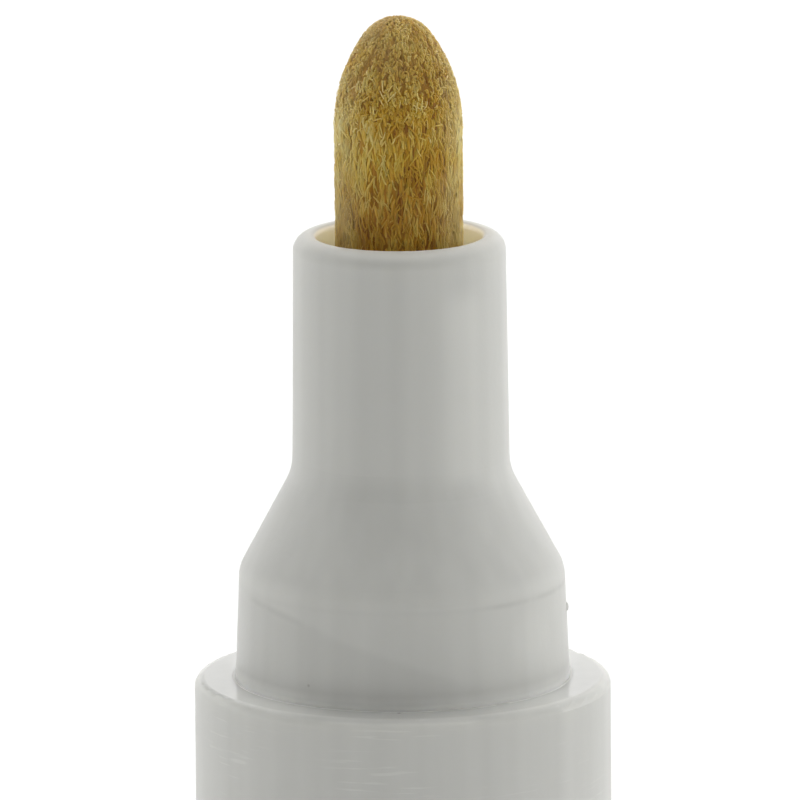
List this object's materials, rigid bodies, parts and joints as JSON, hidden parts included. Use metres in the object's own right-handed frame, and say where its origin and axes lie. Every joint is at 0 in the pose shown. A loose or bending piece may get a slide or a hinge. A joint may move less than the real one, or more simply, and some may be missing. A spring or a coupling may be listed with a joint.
{
  "type": "paint marker",
  "caption": "Valve-action paint marker with a bullet fibre nib in a stepped plastic nib holder, a threaded barrel with mixing balls, and its cap posted on the tail.",
  "frame": {"origin": "middle of the flat crown of the posted cap, which the marker stands on", "axes": "+Z along the marker's axis towards the nib, -Y towards the cap's clip"},
  "size_m": [0.0154, 0.0179, 0.1588],
  "materials": {
    "nib_fibre": "matte fibre soaked with ochre paint",
    "holder_plastic": "satin translucent moulding",
    "barrel_plastic": "satin translucent moulding",
    "valve_plastic": "natural moulding",
    "seal_rubber": "matte",
    "spring_steel": "drawn wire",
    "ball_steel": "polished",
    "label_film": "bare film, no print",
    "cap_plastic": "gloss moulding in the paint's colour"
  },
  "bodies": {
    "barrel": {"barrel": "barrel_plastic", "label_sleeve": "label_film", "tail_plug": "barrel_plastic"},
    "section_seal": {"section_gasket": "seal_rubber"},
    "section": {"nib_holder": "holder_plastic", "valve_seat": "valve_plastic", "valve_cage": "valve_plastic", "valve_spring": "spring_steel"},
    "nib": {"nib": "nib_fibre"},
    "plunger": {"valve_plunger": "valve_plastic", "plunger_seal": "seal_rubber"},
    "ball_1": {"mixing_ball_1": "ball_steel"},
    "ball_2": {"mixing_ball_2": "ball_steel"},
    "cap": {"cap_shell": "cap_plastic", "cap_liner": "valve_plastic"}
  },
  "joints": [
    {"name": "section_lift", "type": "slide", "parent": "barrel", "child": "section_seal", "axis": [0, 0, 1], "range_m": [0, 0.00525]},
    {"name": "section_turn", "type": "hinge", "parent": "section_seal", "child": "section", "pos_m": [0, 0, 0.13738], "axis": [0, 0, 1], "range_deg": [0, 1260]},
    {"name": "nib_press", "type": "slide", "parent": "section", "child": "nib", "axis": [0, 0, -1], "range_m": [0, 0.0018], "stiffness_N_per_m": 400, "springref_m": -0.0015},
    {"name": "plunger_slide", "type": "slide", "parent": "section", "child": "plunger", "axis": [0, 0, -1], "range_m": [0, 0.0018], "deforming": ["valve_spring"]},
    {"name": "ball_1_run", "type": "slide", "parent": "barrel", "child": "ball_1", "axis": [0, 0, 1], "range_m": [0, 0.093]},
    {"name": "ball_2_run", "type": "slide", "parent": "barrel", "child": "ball_2", "axis": [0, 0, 1], "range_m": [0, 0.093]},
    {"name": "cap_pull", "type": "slide", "parent": "barrel", "child": "cap", "axis": [0, 0, -1], "range_m": [0, 0.02]}
  ],
  "couplings": [
    {"joint": "section_turn", "follows": "section_lift", "rad_per_m": 4188.8},
    {"joint": "plunger_slide", "follows": "nib_press", "ratio": 1}
  ]
}
